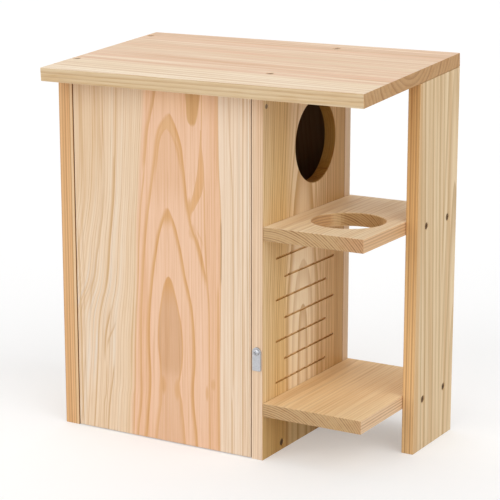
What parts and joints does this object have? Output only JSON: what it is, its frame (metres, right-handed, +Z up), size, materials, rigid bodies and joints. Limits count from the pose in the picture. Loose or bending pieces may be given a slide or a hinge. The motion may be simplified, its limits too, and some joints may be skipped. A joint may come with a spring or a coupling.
{
  "type": "squirrel house",
  "caption": "Wooden nest box with a top-hung front door, turn latch, side entrance and a climbing porch of two platforms and a post under one sloping roof.",
  "frame": {"origin": "on the ground, under the middle of the whole house's outline seen from above", "axes": "+X right along the door towards the porch, +Y from the door's face to the back panel, +Z up"},
  "size_m": [0.422, 0.2481, 0.4608],
  "materials": {
    "door_wood": "planed softwood, unfinished",
    "roof_wood": "planed softwood, unfinished",
    "left_side_wood": "planed softwood, unfinished",
    "right_side_wood": "planed softwood, unfinished",
    "back_wood": "planed softwood, unfinished",
    "floor_wood": "planed softwood, unfinished",
    "platform_wood": "planed softwood, unfinished",
    "post_wood": "planed softwood, unfinished",
    "dark_screw_steel": "black phosphate coated steel",
    "bright_nail_steel": "bright drawn steel",
    "zinc_plate": "zinc plated steel"
  },
  "bodies": {
    "house": {"roof_board": "roof_wood", "left_side_panel": "left_side_wood", "right_side_panel": "right_side_wood", "back_panel": "back_wood", "floor_panel": "floor_wood", "upper_platform": "platform_wood", "lower_platform": "platform_wood", "porch_post": "post_wood", "latch_screw": "zinc_plate", "pivot_nail_left": "bright_nail_steel", "pivot_nail_right": "bright_nail_steel", "roof_screw_left_front": "dark_screw_steel", "roof_screw_left_rear": "dark_screw_steel", "roof_screw_right_front": "dark_screw_steel", "roof_screw_right_rear": "dark_screw_steel", "floor_screw_left_front": "dark_screw_steel", "floor_screw_left_rear": "dark_screw_steel", "floor_screw_right_front": "dark_screw_steel", "floor_screw_right_rear": "dark_screw_steel", "back_screw_left_bottom": "dark_screw_steel", "back_screw_left_middle": "dark_screw_steel", "back_screw_left_top": "dark_screw_steel", "back_screw_right_bottom": "dark_screw_steel", "back_screw_right_middle": "dark_screw_steel", "back_screw_right_top": "dark_screw_steel", "back_screw_floor_left": "dark_screw_steel", "back_screw_floor_right": "dark_screw_steel", "platform_screw_upper_front": "dark_screw_steel", "platform_screw_upper_rear": "dark_screw_steel", "platform_screw_lower_front": "dark_screw_steel", "platform_screw_lower_rear": "dark_screw_steel", "post_screw_upper_front": "dark_screw_steel", "post_screw_upper_rear": "dark_screw_steel", "post_screw_lower_front": "dark_screw_steel", "post_screw_lower_rear": "dark_screw_steel"},
    "door": {"door_panel": "door_wood"},
    "latch": {"latch_plate": "zinc_plate"}
  },
  "joints": [
    {"name": "door_swing", "type": "hinge", "parent": "house", "child": "door", "pos_m": [-0.0685, -0.08144, 0.41402], "axis": [-1, 0, 0], "range_deg": [0, 95]},
    {"name": "latch_turn", "type": "hinge", "parent": "house", "child": "latch", "pos_m": [0.0615, -0.08894, 0.1305], "axis": [0, 1, 0], "continuous": true}
  ]
}
